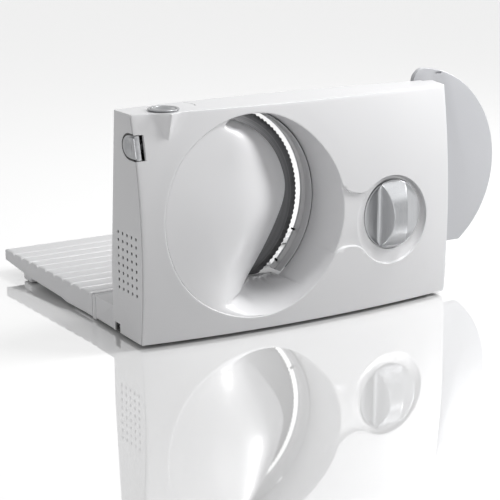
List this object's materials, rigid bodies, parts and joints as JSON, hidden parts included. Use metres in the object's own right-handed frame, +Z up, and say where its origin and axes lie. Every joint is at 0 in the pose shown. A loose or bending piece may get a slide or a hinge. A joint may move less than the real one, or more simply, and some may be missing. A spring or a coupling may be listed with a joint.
{
  "type": "electric food slicer",
  "caption": "Household electric food slicer with a round blade, a dished slice outlet, a thickness knob with a sliding stop plate, and a ribbed carriage on a folding table.",
  "frame": {"origin": "middle of the whole machine seen from above, on the surface that its feet stand on", "axes": "+X along the blade's plane towards the stop plate's round end, +Y from the slice outlet to the food side, +Z up"},
  "size_m": [0.432, 0.3038, 0.2068],
  "materials": {
    "white_plastic": "satin white moulding",
    "silver_plastic": "satin silver coat",
    "blade_steel": "circular brushed stainless steel",
    "plain_steel": "plain machined steel",
    "spring_steel": "drawn spring wire",
    "screw_steel": "zinc plated",
    "bearing_bronze": "sintered bearing bronze",
    "nylon": "natural nylon",
    "black_plastic": "satin black moulding",
    "copper": "plain copper",
    "rubber": "matte"
  },
  "bodies": {
    "housing": {"front_panel": "white_plastic", "slice_deflector": "white_plastic", "main_housing": "white_plastic", "base_frame": "white_plastic", "button_bezel": "silver_plastic", "motor_stator": "plain_steel", "motor_bracket_left": "plain_steel", "motor_bracket_right": "plain_steel", "guide_spring_upper": "spring_steel", "guide_spring_lower": "spring_steel", "button_spring": "spring_steel", "key_spring": "spring_steel", "panel_screw_top_left": "screw_steel", "panel_screw_top_right": "screw_steel", "panel_screw_bottom_left": "screw_steel", "panel_screw_bottom_right": "screw_steel", "base_screw_front_left": "screw_steel", "base_screw_front_right": "screw_steel", "base_screw_rear_left": "screw_steel", "base_screw_rear_right": "screw_steel", "shaft_bush_left": "bearing_bronze", "shaft_bush_right": "bearing_bronze", "axle_bush": "bearing_bronze", "guide_bush_upper": "bearing_bronze", "guide_bush_lower": "bearing_bronze", "worm_bearing": "nylon", "terminal_block": "nylon", "switch_body": "black_plastic", "front_left_foot": "rubber", "front_right_foot": "rubber", "rear_left_foot": "rubber", "rear_right_foot": "rubber", "cord_gland": "rubber"},
    "blade": {"blade": "blade_steel", "blade_axle": "plain_steel", "blade_lock": "black_plastic", "worm_wheel": "nylon"},
    "rotor": {"armature_shaft": "plain_steel", "armature_core": "plain_steel", "commutator": "copper", "cooling_fan": "nylon"},
    "plate": {"stop_plate": "white_plastic", "guide_rod_upper": "plain_steel", "guide_rod_lower": "plain_steel"},
    "knob": {"thickness_knob": "silver_plastic", "knob_cam": "nylon"},
    "button": {"on_button": "silver_plastic"},
    "key": {"safety_key": "silver_plastic"},
    "table": {"folding_table": "white_plastic", "hinge_pin_left": "plain_steel", "hinge_pin_right": "plain_steel", "table_pad_left": "rubber", "table_pad_right": "rubber"},
    "carriage": {"carriage_deck": "white_plastic"}
  },
  "joints": [
    {"name": "rotor_spin", "type": "hinge", "parent": "housing", "child": "rotor", "pos_m": [-0.14801, -0.09955, 0.068], "axis": [1, 0, 0], "continuous": true},
    {"name": "blade_spin", "type": "hinge", "parent": "housing", "child": "blade", "pos_m": [-0.10201, -0.06905, 0.103], "axis": [0, 1, 0], "continuous": true},
    {"name": "plate_slide", "type": "slide", "parent": "housing", "child": "plate", "axis": [0, -1, 0], "range_m": [0, 0.015], "deforming": ["guide_spring_upper", "guide_spring_lower"]},
    {"name": "knob_turn", "type": "hinge", "parent": "housing", "child": "knob", "pos_m": [0.04299, -0.12905, 0.088], "axis": [0, 1, 0], "range_deg": [0, 300]},
    {"name": "button_press", "type": "slide", "parent": "housing", "child": "button", "axis": [0, 0, -1], "range_m": [0, 0.003], "stiffness_N_per_m": 600, "deforming": ["button_spring"]},
    {"name": "key_press", "type": "slide", "parent": "housing", "child": "key", "axis": [1, 0, 0], "range_m": [0, 0.0035], "stiffness_N_per_m": 500, "deforming": ["key_spring"]},
    {"name": "table_fold", "type": "hinge", "parent": "housing", "child": "table", "pos_m": [-0.04801, -0.03445, 0.0209], "axis": [1, 0, 0], "range_deg": [0, 90]},
    {"name": "carriage_slide", "type": "slide", "parent": "table", "child": "carriage", "axis": [1, 0, 0], "range_m": [0, 0.11]}
  ],
  "couplings": [
    {"joint": "blade_spin", "follows": "rotor_spin", "ratio": 0.020833},
    {"joint": "knob_turn", "follows": "plate_slide", "rad_per_m": 349.07}
  ]
}
